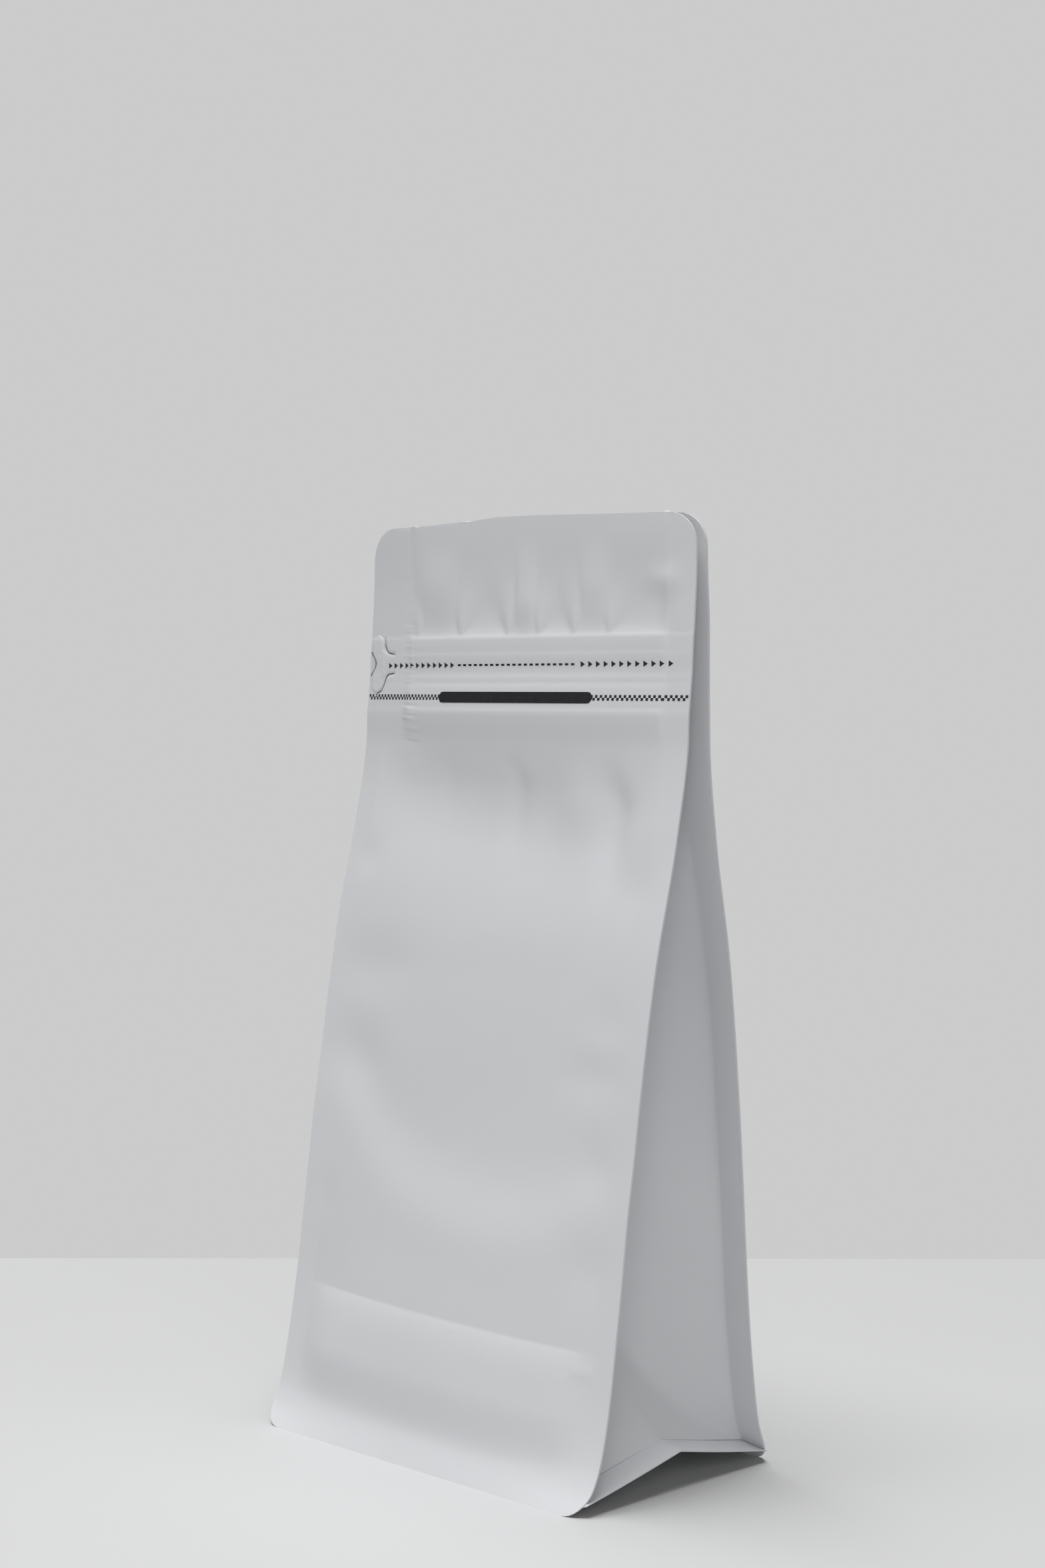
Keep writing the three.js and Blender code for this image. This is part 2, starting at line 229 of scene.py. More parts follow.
# Print: rows of arrows as (first, pitch), the row of dashes between them as (first, end,
# pitch), rows of squares as (left, right, side), and the bar
INK_PROUD = 0.04
INK_SUNK = 0.06
TAB_SUNK = 2 * INK_SUNK
# The line of painted shade along the notch's edge stands out further than the print
NOTCH_SHADE_PROUD = 4 * INK_PROUD
BAR_PROUD = 1.5 * INK_PROUD
ARROW_COUNT = 12
ARROW_LENGTH = 1.55
ARROW_HALF = 0.85
ARROW_ROWS = ((-55.55, 2.61), (26.1, 2.845))
DASH_ROW = (-23.6, 23.5, 2.3)
DASH_LENGTH, DASH_HALF = 1.3, 0.3
CHECK_HEIGHT = 213.3
CHECK_RISE = 0.78
CHECK_ROWS = ((-64.4, -29.5, 0.76), (31, 64.2, 0.86))
BAR_LEFT, BAR_RIGHT = -30.6, 31.7
BAR_HALF = 1.6
BAR_TIP = 0.35

# Fineness of the panels: distances between rows, those at the crease and the closure last,
# and counts of rows round the corners
CLOSURE_ROWS = (200, 235)
FRONT_STEPS = (1.6, 0.4)
BACK_STEPS = (2.5, 2)
TOP_STEP = 1.2
BOTTOM_ARC_ROWS, TOP_ARC_ROWS = 9, 10

# The front's columns are closer together at the pull tab, out to this share of the half width
TAB_SHARE = -0.78
TAB_COLUMNS, FRONT_COLUMNS, BACK_COLUMNS = 40, 152, 91

# Fineness of the folded sides, with rows as (from, to, distance apart) above the foot
FOOT_ROWS, SIDE_ARC_ROWS = 10, 8
SIDE_ROWS = ((FOOT, 60, 1.3), (60, 232, 2.2), (232, HEIGHT - TOP_RADIUS, 2))

# Cells smaller than this have closed up and get no normal
LEAST_AREA = 1e-6
SHARP_ANGLE = math.radians(50)

# Camera, as fitted to the photograph
CAMERA_PLACE = (539.8, -527.3, 216.5)
CAMERA_AZIMUTH = math.radians(45.43)
CAMERA_PITCH = math.radians(2.11)
CAMERA_LENS = 60.96
CAMERA_CLIP = 10
SENSOR = 36

# Studio: the table's reach from the bag, the room's tones, and its square lights, as
# (name, place, side, watts)
TABLE_FAR_LEFT, TABLE_FAR_RIGHT = 250, 236
TABLE_NEAR, TABLE_WIDE = 1600, 1600
WALL_TONE, ROOM_TONE = 0.6, 0.12
ROOM_TINT = (1, 1, 1.004)
LIGHTS = (
    ("ceiling", (-300, -150, 3000), 2000, 108),
    ("side", (1200, -900, 500), 1000, 5.7),
    ("fill", (-100, -1600, 600), 1000, 2.1),
)
LIGHT_AIM = (0, 0, 120)

# Materials: the two tones that each wanders between, and the scales of their noise
FILM_TONES = ((0.66, 0.672, 0.69), (0.7, 0.712, 0.73))
INK_TONES = ((0.012, 0.012, 0.015), (0.03, 0.03, 0.034))
# Painted shade: dark greys for the lines in the tab's cuts and along its notch, which stand in for
# their shadow
GAP_SHADE_TONES = ((0.13, 0.135, 0.14), (0.169, 0.1755, 0.182))
FLOOR_TONES = ((0.55, 0.552, 0.555), (0.57, 0.572, 0.575))
FILM_CLOUDS, FLOOR_CLOUDS, INK_SPECKS = 14, 3, 900
FILM_GLOSS_SCALE, INK_GLOSS_SCALE = 700, 1200
FILM_ROUGHNESS, INK_ROUGHNESS = (0.46, 0.58), (0.5, 0.65)
CRUMPLE_SCALE, CRUMPLE_DEPTH, CRUMPLE_STRENGTH = 55, 0.6, 0.16
GRAIN_SCALE, GRAIN_DEPTH, GRAIN_STRENGTH = 2600, 0.05, 0.2


def smooth(value, start, end):
    share = np.clip((value - start) / (end - start), 0, 1)
    return share * share * (3 - 2 * share)


def window(value, start, full, fade, end):
    """Rises from 0 to 1 between the first two places and falls back between the last."""
    return smooth(value, start, full) * (1 - smooth(value, fade, end))


def bell(value):
    return np.exp(-(value**2))


def mix(a, b, share):
    return a + (b - a) * share


def profile(points):
    """A smooth curve through (place, value) pairs that doesn't overshoot between them."""
    return profile_of(*np.array(points, float).T)


def profile_of(at, value):
    rise = np.diff(value) / np.diff(at)
    before, after = np.append(rise[0], rise), np.append(rise, rise[-1])
    both = before * after
    slope = np.where(both > 0, 2 * both / np.where(both > 0, before + after, 1), 0)

    def curve(height):
        k = np.clip(np.searchsorted(at, height) - 1, 0, len(rise) - 1)
        span = at[k + 1] - at[k]
        share = np.clip((height - at[k]) / span, 0, 1)
        bend = share * (1 - share) * span
        ends = (1 - share) * slope[k] - share * slope[k + 1]
        return mix(value[k], value[k + 1], smooth(share, 0, 1)) + bend * ends

    return curve


side_depth = profile(SIDE_DEPTHS)
front_depth = profile(FRONT_DEPTHS)
back_depth = profile(BACK_DEPTHS)
closure_section = profile(CLOSURE_SECTION)


def outline(z):
    """Half width of the panels at a height, with the rounded corners."""
    below = np.maximum(BOTTOM_RADIUS - z, 0)
    above = np.maximum(z - (HEIGHT - TOP_RADIUS), 0)
    radius = np.where(below > 0, BOTTOM_RADIUS, TOP_RADIUS)
    past = np.maximum(below, above)
    return HALF_WIDTH - radius + np.sqrt(np.maximum(radius**2 - past**2, 0))


def lower_edge(x):
    """Height of the panels' lower edge, which is rounded at its two ends."""
    past = np.maximum(np.abs(x) - (HALF_WIDTH - BOTTOM_RADIUS), 0)
    return BOTTOM_RADIUS - np.sqrt(np.maximum(BOTTOM_RADIUS**2 - past**2, 0))


def crest(x, z):
    """How far the top edge stands above its ends."""
    rise = smooth(x, CREST_START, CREST_FULL) - smooth(x, CREST_FULL, CREST_END)
    return TOP_CREST * rise * smooth(z, CREST_FOOT, HEIGHT)


def middle_plane(x, z):
    """The surface midway between the panels, which leans back and bows at the top."""
    lean = z * math.tan(LEAN)
    bow = TOP_BOW * smooth(z, BOW_START, BOW_FULL) * (1 - (x / HALF_WIDTH) ** 2)
    return lean - bow - TOP_NOD * smooth(z, CLOSURE_TOP, HEIGHT)


def panel_depth(x, z, middle):
    """Half depth of the bag at a panel that has the given depth along its centre line."""
    crown = np.maximum(1 - (x / ROOT) ** 2, 0)
    depth = mix(side_depth(z), middle(z), crown)
    shut = mix(SHUT_CENTRE, SHUT_SIDE, smooth(np.abs(x), SHUT_FLAT, ROOT))
    return mix(depth, shut, smooth(z, SHUT_START, SHUT_FULL))


def crease_height(x):
    (x0, z0), (x1, z1) = CREASE_LEFT, CREASE_RIGHT
    return z0 + (z1 - z0) * (x - x0) / (x1 - x0)


def crease_roll(x, z):
    """Below the base crease the film turns outwards and rolls back in."""
    below = np.maximum(crease_height(x) - z, 0)
    inside = 1 - smooth(np.abs(x), *CREASE_ENDS)
    rolled = CREASE_ROLL * (1 - np.exp(-below / CREASE_REACH)) * (1 - smooth(below, *CREASE_FADE))
    start, end, height = SECOND_CREASE
    ends = start - SECOND_FADE, start + SECOND_FADE, end - SECOND_FADE, end + SECOND_FADE
    second = SECOND_DEPTH * window(x, *ends) * bell((z - height) / SECOND_HALF)
    return rolled * inside + second


def closure_relief(x, z):
    """The pressed closure stands out less over the margins than between them."""
    left = CLOSURE_LEFT - CLOSURE_FADE, CLOSURE_LEFT + CLOSURE_FADE
    right = CLOSURE_RIGHT - CLOSURE_FADE, CLOSURE_RIGHT
    return closure_section(z) * mix(MARGIN_SHARE, 1, window(x, *left, *right))


def pucker_relief(x, z):
    """The film above the closure drops back from it, held out at the puckers and swells."""
    over = np.maximum(z - CLOSURE_TOP, 0)
    drop = LIP_DROP * (1 - np.exp(-over / LIP_REACH))
    lift = np.zeros(np.broadcast(x, z).shape)
    for place, reach in PUCKERS:
        across = bell((x - place) / (PUCKER_TIP + PUCKER_SPREAD * over))
        lift = np.maximum(lift, drop * across * bell(over / reach))
    for place, rise, half, top in SWELLS:
        share = np.minimum(over / (top - CLOSURE_TOP), 1)
        across = np.abs(x - place) / (half * (1 - SWELL_TAPER * share))
        swell = rise * np.sin(share * math.pi / 2) * np.exp(-(across**SWELL_EDGE))
        lift = np.maximum(lift, swell)
    return (lift - drop) * window(x, *LIP_SPAN) * (1 - smooth(z, LIP_START, LIP_END))


def band_relief(x, z):
    """The folded side's edge shows through as a line, with ripples to its left."""
    aside = x - np.interp(z, *np.array(BAND).T)
    crease = BAND_DEPTH * smooth(z, *BAND_START) * bell(aside / BAND_HALF)
    strength = RIPPLE_DEPTH * smooth(z, *RIPPLE_START) * (1 - RIPPLE_LOSS * smooth(z, *RIPPLE_CALM))
    ripple = np.sin(2 * math.pi * z / RIPPLE_PITCH + RIPPLE_SLANT * x)
    ripple = ripple * np.sin(BEAT_RATE * z + BEAT_SHIFT)
    return crease + strength * bell((aside + RIPPLE_OFFSET) / RIPPLE_HALF) * ripple


def distance_to(path, x, z):
    """How far places on the front lie from a path of straight pieces."""
    nearest = np.full(np.broadcast(x, z).shape, np.inf)
    for (x0, z0), (x1, z1) in zip(path, path[1:]):
        run, rise = x1 - x0, z1 - z0
        share = np.clip(((x - x0) * run + (z - z0) * rise) / (run**2 + rise**2), 0, 1)
        nearest = np.minimum(nearest, np.hypot(x - x0 - share * run, z - z0 - share * rise))
    return nearest


def cut_relief(x, z):
    """The film dips along the two cuts that part the tab from the strip."""
    nearest = np.minimum(*[distance_to(path, x, z) for path in CUTS])
    return CUT_DEPTH * bell(nearest / CUT_HALF)


def dent_relief(x, z):
    """Soft round dents, which are bumps where their depth is negative."""
    total = np.zeros(np.broadcast(x, z).shape)
    for place, height, depth, half_x, half_z, turn in DENTS:
        cos, sin = math.cos(math.radians(turn)), math.sin(math.radians(turn))
        across = ((x - place) * cos + (z - height) * sin) / half_x
        up = ((z - height) * cos - (x - place) * sin) / half_z
        total = total + depth * np.exp(-(across**2 + up**2))
    return total


def tongue_relief(x, z):
    """Each tongue sinks towards its tip, and the film below comes out again."""
    total = np.zeros(np.broadcast(x, z).shape)
    for (top_x, top_z), (tip_x, tip_z), depth, top_half, tip_half in TONGUES:
        share = np.clip((top_z - z) / (top_z - tip_z), 0, TONGUE_END)
        along = np.minimum(share, 1)
        across = (x - mix(top_x, tip_x, along)) / mix(top_half, tip_half, along)
        sunk = window(share, 0, TONGUE_TURN, TONGUE_TURN, TONGUE_END)
        total = total + depth * sunk * bell(across)
    return total


def smile_relief(x, z):
    """The broad fold stands out below its line and sinks in above it."""
    up = (z - profile(SMILE)(x)) / SMILE_HALF
    return profile(SMILE_RISE)(x) * up * bell(up)


def front_face(x, z):
    """Where the front panel's outer side lies along Y, with all its relief."""
    out = closure_relief(x, z) + pucker_relief(x, z) + crease_roll(x, z)
    middle = middle_plane(x, z) - panel_depth(x, z, front_depth)
    dents = dent_relief(x, z) + tongue_relief(x, z) + smile_relief(x, z)
    return middle - out + band_relief(x, z) + dents + cut_relief(x, z)


def back_face(x, z):
    return middle_plane(x, z) + panel_depth(x, z, back_depth)


def new_object(name, points, faces, material, slot="film"):
    """A piece of the bag, from points in millimetres, which rides on the frame's root."""
    mesh = bpy.data.meshes.new(name)
    mesh.from_pydata((np.asarray(points) * MM).tolist(), [], faces)
    made = bmesh.new()
    made.from_mesh(mesh)
    bmesh.ops.recalc_face_normals(made, faces=made.faces)
    made.to_mesh(mesh)
    made.free()
    mesh.shade_smooth()
    mesh.set_sharp_from_angle(angle=SHARP_ANGLE)
    mesh.materials.append(material)
    piece = bpy.data.objects.new(name, mesh)
    bpy.context.scene.collection.objects.link(piece)
    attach(piece, "root")
    return piece


def grid_normals(grid):
    """Unit normals of a grid, and zero where its cells close up to a point."""
    across = np.gradient(grid, axis=1)
    along = np.gradient(grid, axis=0)
    normal = np.cross(across, along)
    length = np.linalg.norm(normal, axis=2, keepdims=True)
    return normal / np.maximum(length, LEAST_AREA)


def shell(outer, inner):
    """Points and faces of a closed thin piece between two grids of points."""
    rows, columns = outer.shape[:2]
    index = np.arange(rows * columns).reshape(rows, columns)
    back = index + rows * columns
    faces = []
    for layer in (index, back[:, ::-1]):
        corners = (layer[:-1, :-1], layer[:-1, 1:], layer[1:, 1:], layer[1:, :-1])
        faces += np.stack([c.ravel() for c in corners], axis=1).tolist()
    ring = np.concatenate([index[0], index[1:, -1], index[-1, -2::-1], index[-2:0:-1, 0]])
    follow = np.roll(ring, -1)
    rim = np.stack([follow, ring, ring + rows * columns, follow + rows * columns], axis=1)
    points = np.concatenate([outer.reshape(-1, 3), inner.reshape(-1, 3)])
    return points, faces + rim.tolist()


def joined(*parts):
    """One list of points and faces from several."""
    points, faces, start = [], [], 0
    for part_points, part_faces in parts:
        points.append(part_points)
        faces += [[start + i for i in face] for face in part_faces]
        start += len(part_points)
    return np.concatenate(points), faces


def film_from(grid):
    """A film whose visible side is the grid, and whose other side stays above the table."""
    inner = grid - grid_normals(grid) * FILM
    inner[:, :, 2] = np.maximum(inner[:, :, 2], 0)
    return shell(grid, inner)


def arc_rows(radius, count):
    """Distances from an end that lie evenly round a quarter circle."""
    return radius * (1 - np.cos(np.linspace(0, math.pi / 2, count)))


def panel_rows(step, fine_step):
    """Heights of a panel's rows, closer together at the crease and the closure."""
    low = arc_rows(BOTTOM_RADIUS, BOTTOM_ARC_ROWS)
    body = np.arange(BOTTOM_RADIUS + 1, CLOSURE_ROWS[0], step)
    crease = np.arange(*CREASE_BAND, fine_step)
    body = np.concatenate([body[body < CREASE_BAND[0]], crease, body[body > CREASE_BAND[1]]])
    closure = np.arange(*CLOSURE_ROWS, fine_step)
    upper = np.arange(CLOSURE_ROWS[1], HEIGHT - TOP_RADIUS, TOP_STEP)
    top = HEIGHT - arc_rows(TOP_RADIUS, TOP_ARC_ROWS)[::-1]
    return np.concatenate([low, body, closure, upper, top])


def panel_grid(face, rows, places):
    """Points of a panel, with columns at these shares of its half width."""
    z = rows[:, None] + 0 * places
    x = outline(z) * places
    return np.stack([x, face(x, z), z + crest(x, z)], axis=2)


def side_edge(u):
    """Height of a folded side's lower edge, from its middle (0) to its margins (-1 and 1)."""
    return mix(SIDE_PEAK, CORNER_EDGE, np.abs(u))


def root_line(z):
    """How far out the folded sides leave their margins."""
    return np.minimum(ROOT, outline(z) - LEAST_FIN)


def leg_depth(z):
    """How far in the fold of a side lies, from the flat width of its two legs."""
    return np.sqrt(FOLD_LEG**2 - (side_depth(z) - 2 * FILM) ** 2)


def fold_depth(u, z):
    """How far the folded side lies in from the margins, with the base triangle."""
    foot = side_edge(u) + FLANGE_RISE
    leg = leg_depth(z) * (1 - np.abs(u))
    rise = np.clip((z - foot) / (TRIANGLE_TOP - foot), 0, 2)
    ramp = leg_depth(TRIANGLE_TOP) * rise**TRIANGLE_HOLLOW
    gap = np.clip(0.5 + (ramp - leg) / RIDGE_BEND, 0, 1)
    low = mix(ramp, leg, gap) - RIDGE_BEND / 2 * gap * (1 - gap)
    return np.where(z < TRIANGLE_TOP + RIDGE_REACH, np.minimum(np.maximum(low, 0), leg), leg)


def set_on(side, grid):
    """A grid made for the right side (1), or its mirror image for the left (-1)."""
    grid[:, :, 0] *= side
    return grid if side > 0 else grid[:, ::-1]


def side_margins(side, row, columns=5):
    """The front and back margins that a folded side is sealed to, from the outline inwards."""
    share = np.linspace(0, 1, columns)[None, :-1]
    low = CORNER_EDGE + FLANGE_RISE * share
    z = np.where(row < FOOT, mix(low, FOOT, row / FOOT), row + 0 * share)
    x = mix(outline(z), root_line(z), share)
    faces = (front_face, 2 * FILM), (back_face, -2 * FILM)
    return [np.stack([x, face(side * x, z) + inset, z], axis=2) for face, inset in faces]


def gusset_sheet(side, columns=29):
    """The folded side above its lower flange, with its two margins."""
    leg = np.sin(np.linspace(-1, 1, 2 * columns - 1) * math.pi / 2)
    rows = np.concatenate([
        np.linspace(0, FOOT, FOOT_ROWS)[:-1], *[np.arange(*band) for band in SIDE_ROWS],
        HEIGHT - arc_rows(TOP_RADIUS, SIDE_ARC_ROWS)[::-1],
    ])
    u = leg[None, :] + np.zeros((len(rows), 1))
    row = rows[:, None]
    foot = side_edge(u) + FLANGE_RISE
    z = np.where(row < FOOT, mix(foot, FOOT, row / FOOT), row)
    x = root_line(z) - fold_depth(u, z)
    faces = front_face(side * ROOT, z) + 2 * FILM, back_face(side * ROOT, z) - 2 * FILM
    free = mix(*faces, (rounded(u) + 1) / 2) + gusset_waves(u, z)
    faces = front_face(side * x, z) + 2 * FILM, back_face(side * x, z) - 2 * FILM
    pressed = mix(*faces, smooth(u, -PRESS_TURN, PRESS_TURN))
    middle = (faces[0] + faces[1]) / 2
    limits = np.minimum(faces[0], middle), np.maximum(faces[1], middle)
    y = np.clip(mix(free, pressed, smooth(z, PRESS_START, PRESS_FULL)), *limits)
    legs = np.stack([x, y, z + crest(x, z)], axis=2)
    front_margin, back_margin = side_margins(side, row)
    return set_on(side, np.concatenate([front_margin, legs, back_margin[:, ::-1]], axis=1))


def rounded(u):
    """The two legs leave their margins in a soft bend."""
    inwards = 1 - np.abs(u)
    return np.sign(u) * (1 - (1 + ROOT_ROUND) * inwards**2 / (inwards + ROOT_ROUND))


def gusset_waves(u, z):
    """Slow waves of the folded side's two legs."""
    waves = sum(height * np.sin(z / length + turn * u) for height, length, turn in SIDE_WAVES)
    return np.sin(np.pi * np.abs(u)) * window(z, *SIDE_FREE) * waves


def flange_sheet(side, columns=41, rows=6):
    """The sealed lower edge of a folded side."""
    u = np.linspace(-1, 1, columns)[None, :]
    inwards = np.linspace(0, 1, rows)[::-1, None]
    edge = side_edge(u) + 0 * inwards
    z = edge + FLANGE_RISE * inwards
    x = mix(outline(edge), ROOT, inwards)
    y = middle_plane(x, z) + u * (side_depth(z) - 2 * FILM)
    return set_on(side, np.stack([x, y, z], axis=2)[::-1])


def floor_grid(columns=91, weld=7, across=41):
    """The raised floor and the strips that seal it to the front and back skirts."""
    x = np.linspace(-1, 1, columns)[:, None] * FLOOR_HALF
    u = np.linspace(-1, 1, across)[None, :]
    foot = side_edge(u) + FLANGE_RISE
    inside = mix(SIDE_PEAK, FLOOR_HEIGHT, np.abs(u))
    near = smooth(np.abs(x), ROOT - FLOOR_FALL, ROOT)
    flange = side_edge(u) + FLANGE_RISE * np.clip((HALF_WIDTH - np.abs(x)) / FIN, 0, 1)
    z = np.where(np.abs(x) < ROOT, mix(inside, foot, near), flange) - FILM
    y = mix(front_face(x, z) + 2 * FILM, back_face(x, z) - 2 * FILM, (u + 1) / 2)
    floor = np.stack([x + 0 * u, y, z], axis=2)
    strips = []
    ends = (front_face, 2 * FILM, floor[:, :1]), (back_face, -2 * FILM, floor[:, -1:])
    for face, inset, top in ends:
        share = np.linspace(0, 1, weld)[None, :-1]
        z = mix(lower_edge(x), top[:, :, 2], share)
        z = np.minimum(z, top[:, :, 2])
        strips.append(np.stack([x + 0 * share, face(x, z) + inset, z], axis=2))
    return np.concatenate([strips[0], floor, strips[1][:, ::-1]], axis=1)


def on_front(places, proud):
    """Points across and up, set that far in front of the front panel."""
    x, z = np.asarray(places, float).T
    return np.stack([x, front_face(x, z) - proud, z], axis=1)


def plate(places, proud=INK_PROUD, sunk=INK_SUNK):
    """A thin closed shape lying on the front panel, from its outline."""
    count = len(places)
    points = np.concatenate([on_front(places, proud), on_front(places, -sunk)])
    faces = [list(range(count)), list(range(2 * count - 1, count - 1, -1))]
    faces += [[i, i + count, (i + 1) % count + count, (i + 1) % count] for i in range(count)]
    return points, faces


def rectangle(left, right, low, high):
    """An upright rectangle of print."""
    return plate([(left, low), (right, low), (right, high), (left, high)])


def tab_sides(up):
    """Left and right edges of the tab at a height above its middle."""
    past = np.maximum(np.abs(up) - TAB_LOBE_OFFSET, 0)
    half = np.sqrt(np.maximum(TAB_LOBE_RADIUS**2 - past**2, 0))
    lobe = TAB_LEFT + TAB_LOBE_RADIUS
    notch = TAB_NOTCH * (1 - smooth(np.abs(up), 0, TAB_NOTCH_HALF))
    narrow = 1 - smooth(np.abs(up), *TAB_STEM_EDGE)
    stem = (TAB_STEM_END - lobe - TAB_LOBE_RADIUS) * narrow
    return lobe - half + notch, lobe + half + stem


def pull_tab(rows=61, columns=25):
    """The tab stands proud of the front film and sinks into it along its stem."""
    reach = TAB_LOBE_OFFSET + TAB_LOBE_RADIUS
    up = reach * np.sin(np.linspace(-1, 1, rows) * math.pi / 2)[:, None]
    left, right = tab_sides(up)
    x = mix(left, right, 0.5 - 0.5 * np.cos(np.linspace(0, math.pi, columns))[None, :])
    z = TAB_MIDDLE + up + 0 * x
    inside = np.maximum(right - x, x - TAB_STEM_END + TAB_BEVEL)
    edge = smooth(np.minimum(x - left, inside), 0, TAB_BEVEL)
    proud = INK_PROUD + TAB_PROUD * edge * (1 - smooth(x, TAB_STEM_END - TAB_SINK, TAB_STEM_END))
    smoothed = front_face(x, z) - cut_relief(x, z)
    outer = np.stack([x, smoothed - proud, z], axis=2)
    inner = np.stack([x, smoothed + TAB_SUNK, z], axis=2)
    return shell(outer, inner)


def ribbon(path, half, proud=INK_PROUD):
    """A thin line of painted shade on the front film that follows a path and tapers to its ends."""
    path = np.array(path, float)
    along = np.concatenate([[0], np.cumsum(np.linalg.norm(np.diff(path, axis=0), axis=1))])
    at = np.linspace(0, along[-1], int(along[-1] / RIBBON_STEP))
    curve = [profile_of(along, path[:, k])(at) for k in (0, 1)]
    centre = np.stack(curve, axis=1)
    ahead = np.gradient(centre, axis=0)
    beside = np.stack([-ahead[:, 1], ahead[:, 0]], axis=1)
    beside /= np.linalg.norm(beside, axis=1, keepdims=True)
    to_end = np.minimum(at, at[-1] - at)
    width = half * np.minimum(1, TAPER_TIP + to_end / (TAPER_REACH * half))[:, None]
    edges = centre - beside * width, (centre + beside * width)[::-1]
    return plate(np.concatenate(edges), proud)


def tab_cut_shade():
    """Painted shade: dark lines in the two cuts and along the notch's edge, where the film lies in
    shadow.
    """
    cuts = [ribbon(path, GAP_SHADE_HALF) for path in CUTS]
    return joined(*cuts, ribbon(NOTCH_EDGE, NOTCH_SHADE_HALF, NOTCH_SHADE_PROUD))


def arrows():
    """The two rows of arrows, and the row of dashes between them."""
    shapes = []
    for start, pitch in ARROW_ROWS:
        for x in start + pitch * np.arange(ARROW_COUNT):
            tip = (x + ARROW_LENGTH, STRIP_HEIGHT)
            arrow = [(x, STRIP_HEIGHT - ARROW_HALF), tip, (x, STRIP_HEIGHT + ARROW_HALF)]
            shapes.append(plate(arrow))
    low, high = STRIP_HEIGHT - DASH_HALF, STRIP_HEIGHT + DASH_HALF
    shapes += [rectangle(x, x + DASH_LENGTH, low, high) for x in np.arange(*DASH_ROW)]
    return joined(*shapes)


def checks():
    """Squares in two rows, one above the other by turns."""
    shapes = []
    for start, end, side in CHECK_ROWS:
        for i, x in enumerate(np.arange(start, end, side)):
            low = CHECK_HEIGHT - CHECK_RISE * (i % 2)
            shapes.append(rectangle(x, x + side, low, low + CHECK_RISE))
    return joined(*shapes)


def bar(columns=64, rows=5):
    """A bar with round ends."""
    x = np.linspace(BAR_LEFT, BAR_RIGHT, columns) + np.zeros((rows, 1))
    to_end = np.minimum(x - BAR_LEFT, BAR_RIGHT - x)
    past = np.clip(BAR_HALF - to_end, 0, BAR_HALF)
    half = np.maximum(np.sqrt(BAR_HALF**2 - past**2), BAR_TIP)
    z = CHECK_HEIGHT + half * np.linspace(-1, 1, rows)[:, None]
    outer = np.stack([x, front_face(x, z) - BAR_PROUD, z], axis=2)
    inner = np.stack([x, front_face(x, z) + INK_SUNK, z], axis=2)
    return shell(outer, inner)


def new_material(name, specular):
    material = bpy.data.materials.new(name)
    material.use_nodes = True
    tree = material.node_tree
    shader = tree.nodes["Principled BSDF"]
    shader.inputs["Specular IOR Level"].default_value = specular
    return material, tree, shader


def noise(tree, scale, detail=2.0, roughness=0.5):
    coordinates = tree.nodes.get("Texture Coordinate") or tree.nodes.new("ShaderNodeTexCoord")
    texture = tree.nodes.new("ShaderNodeTexNoise")
    texture.inputs["Scale"].default_value = scale
    texture.inputs["Detail"].default_value = detail
    texture.inputs["Roughness"].default_value = roughness
    tree.links.new(coordinates.outputs["Object"], texture.inputs["Vector"])
    return texture.outputs["Fac"]


def ranged(tree, value, limits):
    """Noise, which mostly lies between 0.3 and 0.7, spread between the limits."""
    node = tree.nodes.new("ShaderNodeMapRange")
    node.inputs["From Min"].default_value = 0.3
    node.inputs["From Max"].default_value = 0.7
    node.inputs["To Min"].default_value, node.inputs["To Max"].default_value = limits
    tree.links.new(value, node.inputs["Value"])
    return node.outputs["Result"]


def bumped(tree, value, depth, strength, below=None):
    node = tree.nodes.new("ShaderNodeBump")
    node.inputs["Distance"].default_value = depth * MM
    node.inputs["Strength"].default_value = strength
    tree.links.new(value, node.inputs["Height"])
    if below is not None:
        tree.links.new(below, node.inputs["Normal"])
    return node.outputs["Normal"]


def tinted(tree, value, tones):
    """A colour between two tones."""
    tint = tree.nodes.new("ShaderNodeMix")
    tint.data_type = "RGBA"
    tint.inputs["A"].default_value = (*tones[0], 1)
    tint.inputs["B"].default_value = (*tones[1], 1)
    tree.links.new(value, tint.inputs["Factor"])
    return tint.outputs["Result"]


def film_material():
    """Matte laminate: even pale grey-white with a fine grain and a faint crumple."""
    material, tree, shader = new_material("matte_film", specular=0.4)
    shader.inputs["IOR"].default_value = 1.46
    tint = tinted(tree, noise(tree, FILM_CLOUDS, 3), FILM_TONES)
    gloss = ranged(tree, noise(tree, FILM_GLOSS_SCALE), FILM_ROUGHNESS)
    crumple = noise(tree, CRUMPLE_SCALE, 3, 0.55)
    crumple = bumped(tree, crumple, CRUMPLE_DEPTH, CRUMPLE_STRENGTH)
    grain = bumped(tree, noise(tree, GRAIN_SCALE), GRAIN_DEPTH, GRAIN_STRENGTH, crumple)
    tree.links.new(tint, shader.inputs["Base Color"])
    tree.links.new(gloss, shader.inputs["Roughness"])
    tree.links.new(grain, shader.inputs["Normal"])
    return material


def gap_shade_material():
    """Painted shade: a dark grey that stands in for the shadow in a cut in the film."""
    material, tree, shader = new_material("cut_shade", specular=0.2)
    shader.inputs["Roughness"].default_value = 0.8
    tint = tinted(tree, noise(tree, INK_SPECKS), GAP_SHADE_TONES)
    tree.links.new(tint, shader.inputs["Base Color"])
    return material


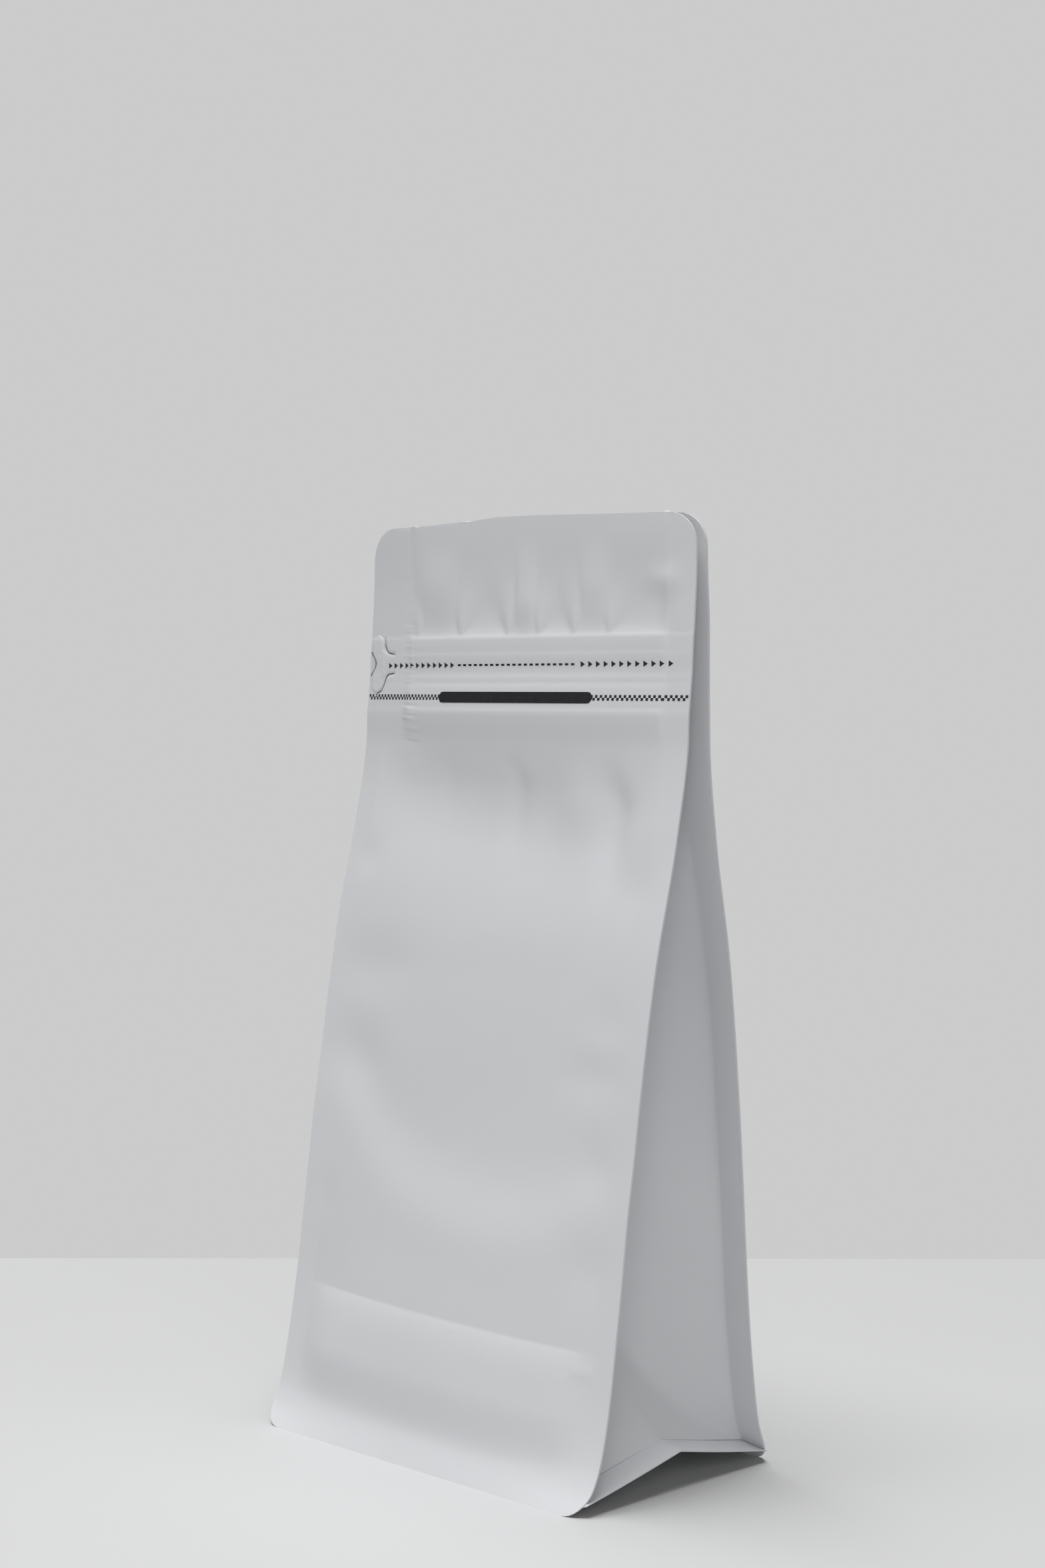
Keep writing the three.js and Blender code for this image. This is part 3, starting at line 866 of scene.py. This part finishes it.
def ink_material():
    """Flat black print with a slightly broken surface."""
    material, tree, shader = new_material("flat_ink", specular=0.25)
    tint = tinted(tree, noise(tree, INK_SPECKS), INK_TONES)
    gloss = ranged(tree, noise(tree, INK_GLOSS_SCALE), INK_ROUGHNESS)
    grain = bumped(tree, noise(tree, GRAIN_SCALE), GRAIN_DEPTH, GRAIN_STRENGTH)
    tree.links.new(tint, shader.inputs["Base Color"])
    tree.links.new(gloss, shader.inputs["Roughness"])
    tree.links.new(grain, shader.inputs["Normal"])
    return material


def floor_material():
    """Pale matte table top, almost even."""
    material, tree, shader = new_material("pale_floor", specular=0.2)
    shader.inputs["Roughness"].default_value = 0.7
    tint = tinted(tree, noise(tree, FLOOR_CLOUDS), FLOOR_TONES)
    tree.links.new(tint, shader.inputs["Base Color"])
    return material


def camera():
    """The photograph's view, with the camera almost level."""
    made = bpy.data.objects.new("camera", bpy.data.cameras.new("camera"))
    bpy.context.scene.collection.objects.link(made)
    away = Vector((
        -math.sin(CAMERA_AZIMUTH) * math.cos(CAMERA_PITCH),
        math.cos(CAMERA_AZIMUTH) * math.cos(CAMERA_PITCH),
        -math.sin(CAMERA_PITCH),
    ))
    made.location = Vector(CAMERA_PLACE) * MM
    made.rotation_mode = "QUATERNION"
    made.rotation_quaternion = away.to_track_quat("-Z", "Y")
    made.data.lens = CAMERA_LENS
    made.data.sensor_width = SENSOR
    made.data.clip_start = CAMERA_CLIP * MM
    bpy.context.scene.camera = made


def area_light(name, place, side, watts):
    """A square light that faces the bag."""
    light = bpy.data.lights.new(name, "AREA")
    light.size = side * MM
    light.energy = watts
    made = bpy.data.objects.new(name, light)
    bpy.context.scene.collection.objects.link(made)
    made.location = Vector(place) * MM
    made.rotation_mode = "QUATERNION"
    made.rotation_quaternion = (Vector(LIGHT_AIM) - Vector(place)).to_track_quat("-Z", "Y")


def studio():
    """A pale table whose far edge crosses behind the bag, and soft light from above."""
    away = np.array([-math.sin(CAMERA_AZIMUTH), math.cos(CAMERA_AZIMUTH)])
    across = np.array([math.cos(CAMERA_AZIMUTH), math.sin(CAMERA_AZIMUTH)])
    ends = ((-TABLE_WIDE, TABLE_FAR_LEFT), (TABLE_WIDE, TABLE_FAR_RIGHT),
            (TABLE_WIDE, -TABLE_NEAR), (-TABLE_WIDE, -TABLE_NEAR))
    mesh = bpy.data.meshes.new("floor")
    mesh.from_pydata([(*(away * y + across * x) * MM, 0) for x, y in ends], [], [(0, 3, 2, 1)])
    mesh.materials.append(floor_material())
    floor = bpy.data.objects.new("floor", mesh)
    bpy.context.scene.collection.objects.link(floor)
    backdrop()
    for light in LIGHTS:
        area_light(*light)
    bpy.context.scene.view_settings.view_transform = "Standard"


def backdrop():
    """An even pale wall all round, which lights the bag less than it shows."""
    world = bpy.data.worlds.new("studio")
    bpy.context.scene.world = world
    world.use_nodes = True
    tree = world.node_tree
    seen = tree.nodes.new("ShaderNodeLightPath")
    tone = tree.nodes.new("ShaderNodeMapRange")
    tone.inputs["To Min"].default_value = ROOM_TONE
    tone.inputs["To Max"].default_value = WALL_TONE
    tree.links.new(seen.outputs["Is Camera Ray"], tone.inputs["Value"])
    tree.links.new(tone.outputs["Result"], tree.nodes["Background"].inputs["Strength"])
    tree.nodes["Background"].inputs["Color"].default_value = (*ROOM_TINT, 1)


film = film_material()
ink = ink_material()

# The front's columns are closer together at its left end, where the pull tab is
tab_places = np.linspace(-1, TAB_SHARE, TAB_COLUMNS)[:-1]
front_places = np.concatenate([tab_places, np.linspace(TAB_SHARE, 1, FRONT_COLUMNS)])
front_grid = panel_grid(front_face, panel_rows(*FRONT_STEPS), front_places)
front = new_object("front_panel", *film_from(front_grid), film)
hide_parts("bag")
back_grid = panel_grid(back_face, panel_rows(*BACK_STEPS), np.linspace(1, -1, BACK_COLUMNS))
new_object("back_panel", *film_from(back_grid), film)
for name, side in (("right_gusset", 1), ("left_gusset", -1)):
    sheets = joined(film_from(gusset_sheet(side)), film_from(flange_sheet(side)))
    new_object(name, *sheets, film)
new_object("base_panel", *film_from(floor_grid()), film)
new_object("pull_tab", *pull_tab(), film)
# Painted shade: dark ribbons in the tab's cuts and along its notch, which stand in for their shadow
new_object("tab_cut_shade", *tab_cut_shade(), gap_shade_material(), "ink")
new_object("tear_arrows", *arrows(), ink, "ink")
new_object("checked_line", *checks(), ink, "ink")
new_object("press_bar", *bar(), ink, "ink")

studio()
camera()
